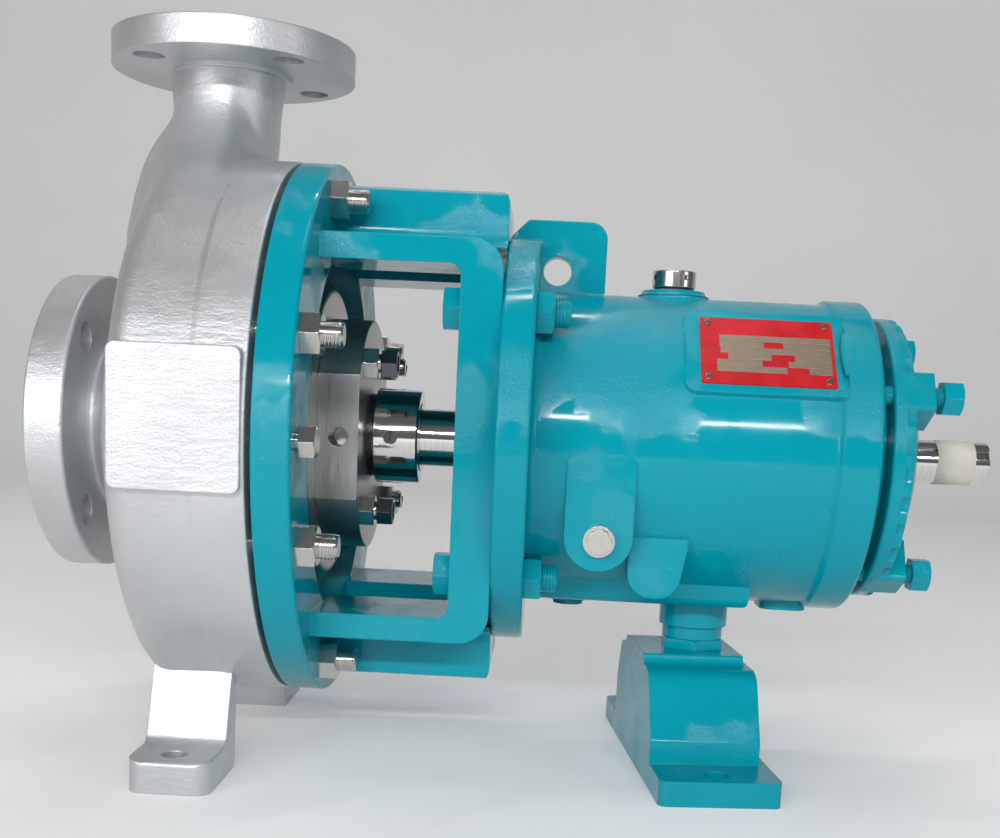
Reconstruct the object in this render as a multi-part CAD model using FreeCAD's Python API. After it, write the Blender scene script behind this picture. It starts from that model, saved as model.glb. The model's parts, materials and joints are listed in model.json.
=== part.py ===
import FreeCAD, Part
import math
import os

# End-suction centrifugal process pump. Every shape is drawn with the shaft axis at y = z = 0 and
# lifted to the shaft height when it is saved, so heights below are relative to the axis.
# X runs along the shaft from the suction side (-) to the coupling end (+), Y points to the far side.

V = FreeCAD.Vector
ALONG_X = V(1, 0, 0)
ALONG_Y = V(0, 1, 0)
ALONG_Z = V(0, 0, 1)

# Driving dimensions, in mm
SHAFT_HEIGHT = 209.55
BASE = -SHAFT_HEIGHT
RUNNING_FIT = 0.05
BOLT_CLEARANCE = 0.5
SOFT_EDGE = 1.0
OVERRUN = 1.0

# Pipe flanges, class 150
SUCTION_FACE = -101.6
SUCTION_FLANGE_R = 95.25
SUCTION_FLANGE_T = 23.8
SUCTION_BORE_R = 38.1
SUCTION_PCD = 152.4
SUCTION_NECK_R = 53.0
DISCHARGE_FACE = 241.3
DISCHARGE_FLANGE_R = 76.2
DISCHARGE_FLANGE_T = 17.0
DISCHARGE_BORE_R = 25.4
DISCHARGE_PCD = 120.65
PIPE_BOLT_HOLE_R = 9.5
PIPE_BOLTS = 4

# Casing
STUD_CIRCLE_R = 153.0
STUD_R = 7.0
STUD_FIRST = 22.5
CASING_STUDS = 8
RING_R = STUD_CIRCLE_R + 17.2
CASING_R = RING_R + 0.3
REGISTER_R = STUD_CIRCLE_R - 13.3
CASING_REAR = 49.7
CASING_RIDGE = 20.8
SHOULDER_X = -25.5
NECK_SECTIONS = [(227.0, -1.9, 34.6), (200.0, -4.6, 33.9), (187.0, -6.0, 34.7), (172.0, -10.0, 37.8),
                 (158.0, -12.0, 41.0), (140.0, -13.5, 43.0), (100.0, -15.0, 44.0)]
CHAMBER_WALL_R = 128.0
CHAMBER_FRONT = -41.0
THROAT_TOP = CHAMBER_WALL_R - 1.5
THROAT_R = 27.0
VOLUTE_START_R = 126.0
VOLUTE_GROWTH = 20.0
VOLUTE_FRONT = -14.0
VOLUTE_WIDTH = 30.0
CUTWATER_ANGLE = 60.0
PAD_RISE_SIDE = 2.5
GAUGE_BOSS_X = -62.0
GAUGE_BOSS_R = 15.0
FOOT_HALF_X = 24.5
FOOT_HOLE_Y = 123.825
FOOT_HOLE_R = 7.95
FOOT_PLATE_T = 20.0
FOOT_OUTER_Y = 139.5
FOOT_INNER_Y = 78.0

# Seal chamber cover and adapter
COVER_FRONT = 26.0
COVER_SEAT = 38.0
GASKET_T = 1.6
RING_FRONT = 52.8
RING_REAR = 74.3
RING_BORE_R = STUD_CIRCLE_R - 35.0
STUD_FRONT = 24.0
STUD_REAR = 97.5
CASING_NUT_FLATS = 22.0
CASING_NUT_HEIGHT = 11.5
JACK_BOLT_R = 5.0
LANTERN_R = 157.8
LANTERN_WALL = 12.5
ARM_HALF_Y = 44.0
ARM_COVE = 10.0
ARM_CORNER_R = 12.0
WALL_FRONT = 156.8
WALL_REAR = 181.5
FRAME_Y = 98.5
FRAME_HALF_Z = 119.0
FRAME_CORNER_R = 18.0
WINDOW_HALF_Z = 104.0
WINDOW_CORNER_R = 7.0
PILOT_R = 60.0
PILOT_LENGTH = 14.0

# Seal
CHAMBER_R = 44.0
COVER_REAR = 69.0
GLAND_REAR = 95.0
GLAND_R = 74.6
GLAND_FLAT_Y = 64.0
GLAND_BORE_R = 27.0
GLAND_STUD_CIRCLE_R = 65.0
GLAND_STUD_R = 6.0
GLAND_STUD_FRONT = 52.0
GLAND_STUD_REAR = 110.5
GLAND_NUT_HEIGHT = 9.6
LOCK_NUT_FRONT = 106.5
SEAL_SEAT_R = 34.0
SEAL_SEAT_DEPTH = 13.0
FLUSH_PORT_X = 82.3
FLUSH_PORT_R = 6.0
FLUSH_PORT_DEPTH = 24.0
SLEEVE_R = 23.0
SLEEVE_FRONT = 24.0
SLEEVE_REAR = 128.5
SEAL_FACE = 66.0
COLLAR_FRONT = 98.9
COLLAR_REAR = 128.0
COLLAR_R = 31.0
SET_SCREW_X = 110.6
SET_SCREW_R = 4.4

# Shaft and impeller
SEAL_SHAFT_R = 19.05
JOURNAL_R = 22.5
COUPLING_R = 14.29
COUPLING_START = 450.0
OUTER_JOURNAL_R = 17.0
OUTER_JOURNAL_START = 424.0
SHOULDER_R = 28.0
BEARING_STEP = 186.0
SHAFT_END = 499.5
KEYWAY_W = 6.35
KEYWAY_DEPTH = 3.2
IMPELLER_R = 120.0
IMPELLER_BACK = 24.0
SHROUD_T = 6.0
VANE_GAP = 1.5
VANE_T = 5.0
VANES = 5
THREAD_R = 10.0

# Bearing housing and carrier
HOUSING_FLANGE_R = 130.0
HOUSING_FLANGE_REAR = 201.5
HOUSING_R = 97.5
HOUSING_BAND_R = 100.0
HOUSING_BAND_FRONT = 383.5
HOUSING_REAR = 409.3
OIL_CHAMBER_R = 80.0
CARRIER_BORE_R = 72.0
BEARING_R = 50.0
BEARING_W = 25.0
INBOARD_BEARING_X = 196.0
THRUST_BEARING_X = 367.0
THRUST_BEARING_W = 39.7
CARRIER_FACE = 415.9
CARRIER_R = 90.3
CARRIER_RIM_REAR = 428.6
CARRIER_REAR = 446.0
CARRIER_FRONT = 360.0
SCALLOPS = 32
SCALLOP_R = 9.0
SCALLOP_OFFSET = 6.7
RING_GROOVE_X = 392.0
RING_GROOVE_W = 5.5
RING_GROOVE_R = 68.0
SNAP_RING_T = 3.0
SNAP_GROOVE_R = 53.0
SCREW_CIRCLE_R = 81.0
SCREW_BOSS_HALF = 13.0
SCREW_BOSS_REAR = 440.0
SCREW_HEAD_FRONT = 445.6
SCREW_HEAD_T = 11.6
SCREW_HEAD_FLATS = 19.0
JACK_SCREW_R = 6.0
JACK_ANGLES = (150, 330)
CLAMP_ANGLES = (60, 240)
CLAMP_DEPTH = 21.0
ADAPTER_BOLT_R = 8.0
ADAPTER_BOLT_CIRCLE_R = 112.0
ADAPTER_BOLT_END = 222.0
ADAPTER_NUT_T = 10.5
ADAPTER_HEX_FLATS = 24.0
OUTER_SEAL_R = 26.0
OUTER_SEAL_FRONT = 434.0
OUTER_SEAL_W = 11.0

# Fittings on the housing
SUMP_REAR = 344.0
SUMP_BOTTOM = -97.5
LUG_HALF_T = 7.5
LUG_TOP = 142.4
LUG_REAR = 243.8
LUG_HOLE_R = 9.1
LUG_HOLE_X = 212.7
LUG_HOLE_Z = 110.8
PLATE_X0 = 300.0
PLATE_LENGTH = 79.8
PLATE_HEIGHT = 52.5
PLATE_T = 0.8
PLATE_TILT = 40.5
RIVET_INSET = 4.5
PAD_PLANE_R = 96.2
PAD_EDGE_R = 101.5
PAD_FRONT = 290.5
PAD_HALF = 32.0
FILLER_X = 288.6
FILLER_TOP = 102.0
CAP_R = 14.0
CAP_STEM_R = 8.0
CAP_STEM_LENGTH = 12.0
CAP_TOP = 114.5
CAP_UNDER = 103.6
VENT_R = 1.7
VENT_DEPTH = 5.0
OIL_BOSS_FACE = 97.8
OIL_PLUG_X = 245.0
OIL_PLUG_Z = -52.8
OIL_PLUG_R = 9.5
OIL_STEM_R = 7.0
LOBE_FACE = 85.0
DRAIN_X = 231.0
DRAIN_R = 6.0
DRAIN_BOSS_R = 12.0
DRAIN_FACE = -103.5

# Support foot
SUPPORT_X = 316.0
COLUMN_BOSS_R = 22.5
COLUMN_BOSS_END = -115.8
COLUMN_R = 9.0
SUPPORT_WASHER_R = 20.0
SUPPORT_NUT_TOP = -124.3
SUPPORT_NUT_T = 7.25
SUPPORT_NUT_FLATS = 38.0
FOOT_SWIVEL = 6.0
FOOT_TOP = BASE + 71.5
FOOT_BASE_T = 15.8
FOOT_HALF_W = 38.0
FOOT_HALF_L = 108.0
FOOT_BLOCK_HALF_L = 52.0
STUD_DEPTH = 20.0
SUPPORT_HOLE_Y = 92.0
SUPPORT_HOLE_R = 7.95


def rounded_wire(points, place):
    """Closed wire through 2-D points; a point's third value rounds its corner."""
    count = len(points)
    corners = []
    for i, point in enumerate(points):
        here = V(point[0], point[1], 0)
        radius = point[2] if len(point) > 2 else 0
        if not radius:
            corners.append((here, here, here))
            continue
        before = points[i - 1]
        after = points[(i + 1) % count]
        back = (V(before[0], before[1], 0) - here).normalize()
        ahead = (V(after[0], after[1], 0) - here).normalize()
        half = back.getAngle(ahead) / 2
        run = radius / math.tan(half)
        centre = here + (back + ahead).normalize() * (radius / math.sin(half))
        middle = centre + (here - centre).normalize() * radius
        corners.append((here + back * run, middle, here + ahead * run))
    edges = []
    for i, (start, middle, end) in enumerate(corners):
        if (end - start).Length > 1e-6:
            edges.append(Part.Arc(place(start), place(middle), place(end)).toShape())
        following = corners[(i + 1) % count][0]
        if (following - end).Length > 1e-6:
            edges.append(Part.makeLine(place(end), place(following)))
    return Part.Wire(edges)


def lathe(points):
    """Solid of revolution about the shaft axis through (x, radius) points."""
    wire = rounded_wire(points, lambda p: V(p.x, 0, p.y))
    return Part.Face(wire).revolve(V(0, 0, 0), ALONG_X, 360)


def plate_x(points, x0, x1):
    """Plate between two x values, outlined by (y, z) points."""
    wire = rounded_wire(points, lambda p: V(x0, p.x, p.y))
    return Part.Face(wire).extrude(V(x1 - x0, 0, 0))


def plate_y(points, y0, y1):
    """Plate between two y values, outlined by (x, z) points."""
    wire = rounded_wire(points, lambda p: V(p.x, y0, p.y))
    return Part.Face(wire).extrude(V(0, y1 - y0, 0))


def plate_z(points, z0, z1):
    """Plate between two z values, outlined by (x, y) points."""
    wire = rounded_wire(points, lambda p: V(p.x, p.y, z0))
    return Part.Face(wire).extrude(V(0, 0, z1 - z0))


def rectangle(a0, a1, b0, b1, radius=0):
    return [(a0, b0, radius), (a1, b0, radius), (a1, b1, radius), (a0, b1, radius)]


def block(x0, x1, y0, y1, z0, z1):
    return Part.makeBox(x1 - x0, y1 - y0, z1 - z0, V(x0, y0, z0))


def rod(x0, x1, radius, y=0, z=0):
    return Part.makeCylinder(radius, x1 - x0, V(x0, y, z), ALONG_X)


def post(z0, z1, radius, x=0, y=0):
    return Part.makeCylinder(radius, z1 - z0, V(x, y, z0), ALONG_Z)


def cross_bar(y0, y1, radius, x=0, z=0):
    return Part.makeCylinder(radius, y1 - y0, V(x, y0, z), ALONG_Y)


def tube(x0, x1, inner, outer):
    return rod(x0, x1, outer).cut(rod(x0 - 1, x1 + 1, inner))


def hexagon(x0, x1, flats, y=0, z=0):
    """Hexagonal prism along X with chamfered outer end."""
    corner = flats / math.sqrt(3)
    points = [(corner * math.cos(math.radians(60 * i)), corner * math.sin(math.radians(60 * i)))
              for i in range(6)]
    prism = plate_x(points, x0, x1)
    bevel = corner - flats / 2
    cone = lathe([(x0, 0), (x0, corner + SOFT_EDGE), (x1 - bevel * 0.5, corner + SOFT_EDGE),
                  (x1 - bevel * 0.5, corner), (x1, flats / 2), (x1, 0)])
    prism = prism.common(cone)
    prism.translate(V(0, y, z))
    return prism


def threaded_rod(x0, x1, radius, y=0, z=0):
    """Plain rod with both ends chamfered, as a stud or screw end is."""
    bevel = radius * 0.18
    body = lathe([(x0, 0), (x0, radius - bevel), (x0 + bevel, radius), (x1 - bevel, radius),
                  (x1, radius - bevel), (x1, 0)])
    body.translate(V(0, y, z))
    return body


def polar(count, radius, first=0.0):
    """(y, z) positions spaced evenly round the shaft axis."""
    return [at_angle(radius, first + 360.0 * i / count) for i in range(count)]


def at_angle(radius, degrees):
    angle = math.radians(degrees)
    return radius * math.cos(angle), radius * math.sin(angle)


def mirrored(shape):
    """The same shape on the far side of the pump."""
    return shape.mirror(V(0, 0, 0), ALONG_Y)


def joined(shapes):
    return shapes[0].fuse(shapes[1:]).removeSplitter()


def save(name, shapes):
    """Lift to the shaft height and write one file; a list stays a group of separate solids."""
    if isinstance(shapes, list):
        shape = Part.makeCompound(shapes)
    else:
        shape = shapes.copy()
    shape.translate(V(0, 0, SHAFT_HEIGHT))
    shape.exportStep("parts/" + name + ".step")


# Casing

def dome_profile():
    """Outside of the casing: suction flange, neck, dome and rim."""
    flange_back = SUCTION_FACE + SUCTION_FLANGE_T
    return [(SUCTION_FACE, 0), (SUCTION_FACE, SUCTION_FLANGE_R, 1.5),
            (flange_back, SUCTION_FLANGE_R, 2), (flange_back, SUCTION_NECK_R, 4),
            (-70, SUCTION_NECK_R, 8), (SHOULDER_X, CASING_R, 16),
            (CASING_RIDGE - 3, CASING_R - 0.6), (CASING_RIDGE, CASING_R), (CASING_REAR, CASING_R, SOFT_EDGE),
            (CASING_REAR, 0)]


def chamber_front(radius):
    """x of the chamber's sloping front wall at a radius; the vane edges follow it."""
    slope = 26.0 / 90.0
    return -40.0 + (radius - SUCTION_BORE_R) * slope


def volute_space():
    """Room round the impeller that widens once round to the throat."""
    steps = 24
    points = []
    for i in range(steps + 1):
        share = i / steps
        y, z = at_angle(VOLUTE_START_R + VOLUTE_GROWTH * share, CUTWATER_ANGLE + 360 * share)
        points.append(V(VOLUTE_FRONT, y, z))
    spiral = Part.BSplineCurve()
    spiral.interpolate(points)
    closing = Part.makeLine(points[-1], points[0])
    face = Part.Face(Part.Wire([spiral.toShape(), closing]))
    return face.extrude(V(VOLUTE_WIDTH, 0, 0))


def casing_foot():
    """Near foot: bolted plate and the leg that rises into the casing."""
    plate_top = BASE + FOOT_PLATE_T
    side = plate_x([(-FOOT_OUTER_Y, BASE), (-FOOT_OUTER_Y, plate_top, 3), (-101, plate_top, 7),
                    (-85, BASE + 68), (-85, -95), (-70, -95), (-FOOT_INNER_Y, BASE)],
                   -FOOT_HALF_X, FOOT_HALF_X)
    plan = plate_z([(-FOOT_HALF_X, -FOOT_OUTER_Y, 9), (FOOT_HALF_X, -FOOT_OUTER_Y, 9),
                    (FOOT_HALF_X, -60), (-FOOT_HALF_X, -60)], BASE, -90)
    hole = post(BASE - 1, plate_top + 1, FOOT_HOLE_R, 0, -FOOT_HOLE_Y)
    return side.common(plan).cut(hole)


def feet():
    """Both feet, seated on the turned outside of the casing."""
    near_foot = casing_foot().cut(lathe(dome_profile()))
    return [near_foot, mirrored(near_foot)]


def gauge_boss():
    return cross_bar(-SUCTION_NECK_R - 9, -SUCTION_BORE_R - 4, GAUGE_BOSS_R, GAUGE_BOSS_X)


def suction_nozzle():
    """The casting in front of the chamber: flange, neck and the middle of the dome."""
    reach = 2 * CASING_R
    in_front = Part.makeBox(reach, 2 * reach, 2 * reach, V(CHAMBER_FRONT - reach, -reach, -reach))
    body = joined([lathe(dome_profile()).common(in_front), gauge_boss()])
    suction = rod(SUCTION_FACE - OVERRUN, CHAMBER_FRONT + 3, SUCTION_BORE_R)
    holes = [rod(SUCTION_FACE - OVERRUN, SUCTION_FACE + SUCTION_FLANGE_T + OVERRUN, PIPE_BOLT_HOLE_R, y, z)
             for y, z in polar(PIPE_BOLTS, SUCTION_PCD / 2, 45)]
    return body.cut([suction] + holes)


def volute_casing():
    """The casting behind the suction nozzle: volute, neck and discharge flange."""
    reach = 2 * CASING_R
    behind = Part.makeBox(reach, 2 * reach, 2 * reach, V(CHAMBER_FRONT, -reach, -reach))
    body = lathe(dome_profile()).common(behind)
    rings = [Part.Wire(Part.makeCircle(r, V(x, 0, z), ALONG_Z)) for z, x, r in NECK_SECTIONS]
    neck = Part.makeLoft(rings, True).cut(lathe(dome_profile()))
    flange_under = DISCHARGE_FACE - DISCHARGE_FLANGE_T
    discharge_flange = post(flange_under, DISCHARGE_FACE, DISCHARGE_FLANGE_R)
    weld_band = post(flange_under - 3, flange_under + 1, 37.5, -1.5)
    side_pad = plate_y(rectangle(-24, 48, -29, 49, 5), -CASING_R - PAD_RISE_SIDE, -STUD_CIRCLE_R)
    body = joined([body, neck, discharge_flange, weld_band, side_pad])
    throat = post(IMPELLER_R - 8, THROAT_TOP, THROAT_R)
    outlet = post(THROAT_TOP - 1, DISCHARGE_FACE + OVERRUN, DISCHARGE_BORE_R)
    chamber = lathe([(CHAMBER_FRONT - OVERRUN, 0), (CHAMBER_FRONT - OVERRUN, SUCTION_BORE_R),
                     (CHAMBER_FRONT, SUCTION_BORE_R), (chamber_front(CHAMBER_WALL_R), CHAMBER_WALL_R),
                     (COVER_SEAT, CHAMBER_WALL_R), (COVER_SEAT, 0)])
    register = rod(COVER_SEAT - GASKET_T, CASING_REAR + OVERRUN, REGISTER_R)
    body = body.cut([throat, outlet, chamber, volute_space(), register])
    holes = [rod(STUD_FRONT - 2, CASING_REAR + OVERRUN, STUD_R, y, z)
             for y, z in polar(CASING_STUDS, STUD_CIRCLE_R, STUD_FIRST)]
    holes += [post(flange_under - OVERRUN, DISCHARGE_FACE + OVERRUN, PIPE_BOLT_HOLE_R, x, y)
              for x, y in polar(PIPE_BOLTS, DISCHARGE_PCD / 2, 45)]
    return body.cut(holes)


def casing_gasket():
    return tube(COVER_SEAT - GASKET_T, COVER_SEAT, CHAMBER_WALL_R, REGISTER_R)


def seal_chamber_cover():
    spigot_r = CHAMBER_WALL_R - 1
    disc = lathe([(COVER_FRONT, 0), (COVER_FRONT, spigot_r, SOFT_EDGE), (COVER_SEAT, spigot_r),
                  (COVER_SEAT, REGISTER_R), (RING_FRONT, REGISTER_R), (RING_FRONT, RING_BORE_R - 4, 3),
                  (COVER_REAR, RING_BORE_R - 26, 5), (COVER_REAR, 0)])
    throat = rod(COVER_FRONT - OVERRUN, COVER_FRONT + 7, SLEEVE_R + 2.5)
    chamber = rod(COVER_FRONT + 6, COVER_REAR + OVERRUN, CHAMBER_R)
    studs = [rod(GLAND_STUD_FRONT - 1, COVER_REAR + OVERRUN, GLAND_STUD_R, y, z)
             for y, z in polar(4, GLAND_STUD_CIRCLE_R, 45)]
    return disc.cut([throat, chamber] + studs)


# Adapter

def adapter_arm():
    """Upper arm: hollow underneath, with a coved foot on the web and a rounded top."""
    start = RING_REAR - 4
    foot = ARM_HALF_Y + 2 * ARM_COVE
    section = plate_x([(-foot, FRAME_HALF_Z - 2), (-foot, FRAME_HALF_Z), (-ARM_HALF_Y, FRAME_HALF_Z, ARM_COVE),
                       (-ARM_HALF_Y, LANTERN_R), (ARM_HALF_Y, LANTERN_R), (ARM_HALF_Y, FRAME_HALF_Z, ARM_COVE),
                       (foot, FRAME_HALF_Z), (foot, FRAME_HALF_Z - 2)], start, WALL_REAR)
    side = plate_y([(start, 0), (WALL_REAR, 0), (WALL_REAR, LANTERN_R, ARM_CORNER_R), (start, LANTERN_R)],
                   -foot, foot)
    return section.common([side]).common([rod(start, WALL_REAR, LANTERN_R)])


def frame_adapter():
    """Casing ring, box frame with a window on each side, and an arm above and below."""
    ring = lathe([(RING_FRONT, RING_BORE_R), (RING_FRONT, RING_R, SOFT_EDGE), (RING_REAR, RING_R, 2),
                  (RING_REAR, RING_BORE_R, 2)])
    start = RING_REAR - 4
    box = plate_y([(start, -FRAME_HALF_Z), (WALL_REAR, -FRAME_HALF_Z, FRAME_CORNER_R),
                   (WALL_REAR, FRAME_HALF_Z, FRAME_CORNER_R), (start, FRAME_HALF_Z)], -FRAME_Y, FRAME_Y)
    upper = adapter_arm()
    lower = upper.mirror(V(0, 0, 0), ALONG_Z)
    body = joined([ring, box, upper, lower])
    side = FRAME_Y + OVERRUN
    window = plate_y([(RING_REAR, -WINDOW_HALF_Z), (WALL_FRONT, -WINDOW_HALF_Z, WINDOW_CORNER_R),
                      (WALL_FRONT, WINDOW_HALF_Z, WINDOW_CORNER_R), (RING_REAR, WINDOW_HALF_Z)], -side, side)
    bore = rod(RING_FRONT - OVERRUN, RING_REAR + OVERRUN, RING_BORE_R)
    pilot = rod(WALL_FRONT - OVERRUN, WALL_REAR + OVERRUN, PILOT_R)
    inner = ARM_HALF_Y - LANTERN_WALL
    recess = plate_x(rectangle(-inner, inner, LANTERN_WALL - LANTERN_R, LANTERN_R - LANTERN_WALL, 8),
                     RING_REAR, WALL_FRONT)
    body = body.cut([window, bore, pilot, recess])
    holes = [rod(RING_FRONT - OVERRUN, RING_REAR + OVERRUN, STUD_R + BOLT_CLEARANCE, y, z)
             for y, z in polar(CASING_STUDS, STUD_CIRCLE_R, STUD_FIRST)]
    holes += [rod(RING_FRONT - OVERRUN, RING_REAR + OVERRUN, JACK_BOLT_R, y, 0)
              for y in (-STUD_CIRCLE_R, STUD_CIRCLE_R)]
    holes += [rod(WALL_FRONT - OVERRUN, WALL_REAR + OVERRUN, ADAPTER_BOLT_R + BOLT_CLEARANCE, y, z)
              for y, z in polar(4, ADAPTER_BOLT_CIRCLE_R, 45)]
    return body.cut(holes)


def casing_studs():
    return [threaded_rod(STUD_FRONT, STUD_REAR, STUD_R, y, z)
            for y, z in polar(CASING_STUDS, STUD_CIRCLE_R, STUD_FIRST)]


def nut(front, height, flats, bore, y, z):
    """Hexagon nut on a rod along X."""
    return hexagon(front, front + height, flats, y, z).cut(
        rod(front - OVERRUN, front + height + OVERRUN, bore, y, z))


def casing_nuts():
    return [nut(RING_REAR, CASING_NUT_HEIGHT, CASING_NUT_FLATS, STUD_R, y, z)
            for y, z in polar(CASING_STUDS, STUD_CIRCLE_R, STUD_FIRST)]


def jack_bolts():
    """Two screws that push the adapter off the casing when the pump is opened."""
    head = RING_REAR + 2.6
    return [threaded_rod(CASING_REAR, head + SOFT_EDGE, JACK_BOLT_R, y, 0).fuse(hexagon(head, head + 9, 17, y, 0))
            for y in (-STUD_CIRCLE_R, STUD_CIRCLE_R)]


# Mechanical seal

def seal_gland():
    body = lathe([(COVER_REAR, GLAND_BORE_R), (COVER_REAR, GLAND_R, SOFT_EDGE),
                  (GLAND_REAR, GLAND_R, SOFT_EDGE), (GLAND_REAR, GLAND_BORE_R, SOFT_EDGE)])
    start = COVER_REAR - OVERRUN
    end = GLAND_REAR + OVERRUN
    seat = rod(start, COVER_REAR + SEAL_SEAT_DEPTH, SEAL_SEAT_R)
    near_flat = block(start, end, -GLAND_R - OVERRUN, -GLAND_FLAT_Y, -GLAND_R, GLAND_R)
    port = cross_bar(-GLAND_R, -GLAND_FLAT_Y + FLUSH_PORT_DEPTH, FLUSH_PORT_R, FLUSH_PORT_X)
    studs = [rod(start, end, GLAND_STUD_R + BOLT_CLEARANCE, y, z)
             for y, z in polar(4, GLAND_STUD_CIRCLE_R, 45)]
    return body.cut([seat, port, near_flat, mirrored(near_flat)] + studs)


def gland_studs():
    return [threaded_rod(GLAND_STUD_FRONT, GLAND_STUD_REAR, GLAND_STUD_R, y, z)
            for y, z in polar(4, GLAND_STUD_CIRCLE_R, 45)]


def gland_nuts():
    return [nut(GLAND_REAR, GLAND_NUT_HEIGHT, 18, GLAND_STUD_R, y, z)
            for y, z in polar(4, GLAND_STUD_CIRCLE_R, 45)]


def gland_lock_nuts():
    """Lock nuts, on the two near studs only."""
    return [nut(LOCK_NUT_FRONT, GLAND_NUT_HEIGHT, 16, GLAND_STUD_R, y, z)
            for y, z in polar(4, GLAND_STUD_CIRCLE_R, 45) if y < 0]


def seal_sleeve():
    return tube(SLEEVE_FRONT, SLEEVE_REAR, SEAL_SHAFT_R, SLEEVE_R)


def seal_rotary_ring():
    return tube(SEAL_FACE - 16, SEAL_FACE, SLEEVE_R, SEAL_SEAT_R + 1)


def seal_stationary_ring():
    return tube(SEAL_FACE + RUNNING_FIT, SEAL_FACE + SEAL_SEAT_DEPTH, SLEEVE_R + 0.6, SEAL_SEAT_R - 0.4)


def seal_throttle_ring():
    return tube(GLAND_REAR - 7, COLLAR_FRONT - 0.8, SLEEVE_R + 0.5, GLAND_BORE_R)


def drive_collar():
    body = lathe([(COLLAR_FRONT, SLEEVE_R), (COLLAR_FRONT, COLLAR_R, SOFT_EDGE), (COLLAR_REAR, COLLAR_R, 1.5),
                  (COLLAR_REAR, SLEEVE_R)])
    hole = post(0, COLLAR_R + OVERRUN, SET_SCREW_R, SET_SCREW_X)
    return body.cut([hole.rotated(V(0, 0, 0), ALONG_X, 90 * turn) for turn in range(4)])


def collar_set_screws():
    """Slotted set screws sunk just below the collar's surface."""
    screw = post(SLEEVE_R + 0.1, COLLAR_R - 0.6, SET_SCREW_R, SET_SCREW_X)
    slot = block(SET_SCREW_X - 6, SET_SCREW_X + 6, -0.6, 0.6, COLLAR_R - 3, COLLAR_R)
    slot.rotate(V(SET_SCREW_X, 0, 0), ALONG_Z, 80)
    screw = screw.cut(slot)
    return [screw.rotated(V(0, 0, 0), ALONG_X, 90 * turn) for turn in range(4)]


# Impeller and shaft

def impeller():
    front = chamber_front(IMPELLER_R) + VANE_GAP
    eye_r = 33.0
    shroud = lathe([(IMPELLER_BACK - SHROUD_T, 0), (IMPELLER_BACK - SHROUD_T, IMPELLER_R, SOFT_EDGE),
                    (IMPELLER_BACK, IMPELLER_R, SOFT_EDGE), (IMPELLER_BACK, 0)])
    hub = lathe([(-26, 0), (-26, 14, 8), (-6, 24, 12), (IMPELLER_BACK - 2, 30), (IMPELLER_BACK - 2, 0)])
    envelope = lathe([(chamber_front(eye_r) + VANE_GAP + 6, eye_r - 14), (chamber_front(eye_r) + VANE_GAP + 1, eye_r),
                      (front, IMPELLER_R), (IMPELLER_BACK - 2, IMPELLER_R), (IMPELLER_BACK - 2, eye_r - 14)])
    arc_r = 78.0
    arc_centre = 62.0
    wall = rod(-60, IMPELLER_BACK, arc_r + VANE_T / 2, arc_centre).cut(
        rod(-61, IMPELLER_BACK + 1, arc_r - VANE_T / 2, arc_centre))
    vane = wall.common(block(-60, IMPELLER_BACK, -200, 200, 0, 200)).common(envelope)
    vanes = []
    for i in range(VANES):
        copy = vane.copy()
        copy.rotate(V(0, 0, 0), ALONG_X, 360.0 / VANES * i)
        vanes.append(copy)
    body = joined([shroud, hub] + vanes)
    return body.cut(rod(-14, IMPELLER_BACK + 1, THREAD_R))


def pump_shaft():
    """Stepped shaft from the impeller thread to the coupling end."""
    inboard_end = INBOARD_BEARING_X + BEARING_W
    body = lathe([(-13.5, 0), (-13.5, THREAD_R, SOFT_EDGE), (SLEEVE_FRONT, THREAD_R),
                  (SLEEVE_FRONT, SEAL_SHAFT_R, SOFT_EDGE), (BEARING_STEP, SEAL_SHAFT_R),
                  (BEARING_STEP, JOURNAL_R, SOFT_EDGE), (inboard_end, JOURNAL_R), (inboard_end, SHOULDER_R, 2),
                  (THRUST_BEARING_X, SHOULDER_R, 2), (THRUST_BEARING_X, JOURNAL_R),
                  (OUTER_JOURNAL_START, JOURNAL_R, SOFT_EDGE), (OUTER_JOURNAL_START, OUTER_JOURNAL_R),
                  (COUPLING_START, OUTER_JOURNAL_R, SOFT_EDGE), (COUPLING_START, COUPLING_R),
                  (SHAFT_END, COUPLING_R, SOFT_EDGE), (SHAFT_END, 0)])
    bottom = COUPLING_R - KEYWAY_DEPTH
    key_end = COUPLING_START + 4
    top = COUPLING_R + OVERRUN
    keyway = block(key_end, SHAFT_END + OVERRUN, -KEYWAY_W / 2, KEYWAY_W / 2, bottom, top)
    keyway = keyway.fuse(post(bottom, top, KEYWAY_W / 2, key_end))
    keyway.rotate(V(0, 0, 0), ALONG_X, 62)
    return body.cut(keyway)


# Bearings

def bearing_parts(front, width, rows, balls, ball_r):
    """Deep-groove bearing: outer ring, inner ring, list of balls and cage."""
    inner_r = JOURNAL_R
    pitch = (inner_r + BEARING_R) / 2
    outer = tube(front, front + width, pitch + ball_r * 0.55, BEARING_R)
    inner = tube(front, front + width, inner_r, pitch - ball_r * 0.55)
    cage = tube(front + 2, front + width - 2, pitch - 1.5, pitch + 1.5)
    spheres = []
    for row in range(rows):
        x = front + width * (row + 0.5) / rows
        groove = Part.makeTorus(pitch, ball_r + RUNNING_FIT, V(x, 0, 0), ALONG_X)
        outer = outer.cut(groove)
        inner = inner.cut(groove)
        pockets = []
        for y, z in polar(balls, pitch, 180.0 / balls * row):
            spheres.append(Part.makeSphere(ball_r, V(x, y, z)))
            pockets.append(Part.makeSphere(ball_r + 0.2, V(x, y, z)))
        cage = cage.cut(pockets)
    return outer, inner, spheres, cage


def oil_seal(front, width, shaft_r, outer):
    """Bearing isolator that runs close round the shaft."""
    return tube(front, front + width, shaft_r + RUNNING_FIT, outer)


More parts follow.
